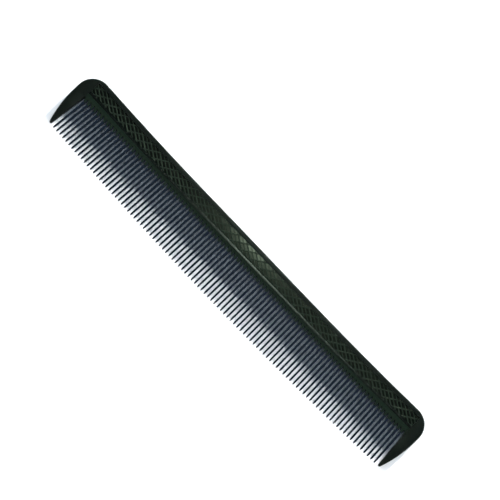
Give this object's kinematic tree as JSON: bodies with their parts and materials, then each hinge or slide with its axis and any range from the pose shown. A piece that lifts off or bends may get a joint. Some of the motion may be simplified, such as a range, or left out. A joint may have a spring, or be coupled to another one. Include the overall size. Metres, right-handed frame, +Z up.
{
  "type": "cutting comb",
  "caption": "Flat one-piece salon cutting comb with a gently curved back, a diamond grip net on both faces, one row of fine teeth and a thick guard tooth at each end.",
  "frame": {"origin": "centre of the bottom of the comb's box, with the comb lying flat on one face", "axes": "+X along the comb from the left end to the right end, +Y from the teeth towards the back edge, +Z up through the thickness"},
  "size_m": [0.1808, 0.0276, 0.004],
  "materials": {
    "back_resin": "black heat-resistant resin, smooth moulded satin gloss",
    "grip_resin": "the same black resin, moulded with a fine raised diamond net and a dull floor between its lines",
    "tooth_resin": "the same black resin, polished on the teeth and in the roots of the gaps"
  },
  "bodies": {
    "root": {"back_rail": "back_resin", "grip_web": "grip_resin", "front_grip_net": "grip_resin", "rear_grip_net": "grip_resin", "front_bead": "back_resin", "rear_bead": "back_resin", "tooth_root_band": "tooth_resin", "right_back_corner": "back_resin", "left_back_corner": "back_resin", "right_end_guard": "back_resin", "left_end_guard": "back_resin", "tooth_bank_01": "tooth_resin", "tooth_bank_02": "tooth_resin", "tooth_bank_03": "tooth_resin", "tooth_bank_04": "tooth_resin", "tooth_bank_05": "tooth_resin", "tooth_bank_06": "tooth_resin", "tooth_bank_07": "tooth_resin", "tooth_bank_08": "tooth_resin", "tooth_bank_09": "tooth_resin", "tooth_bank_10": "tooth_resin"}
  },
  "joints": []
}
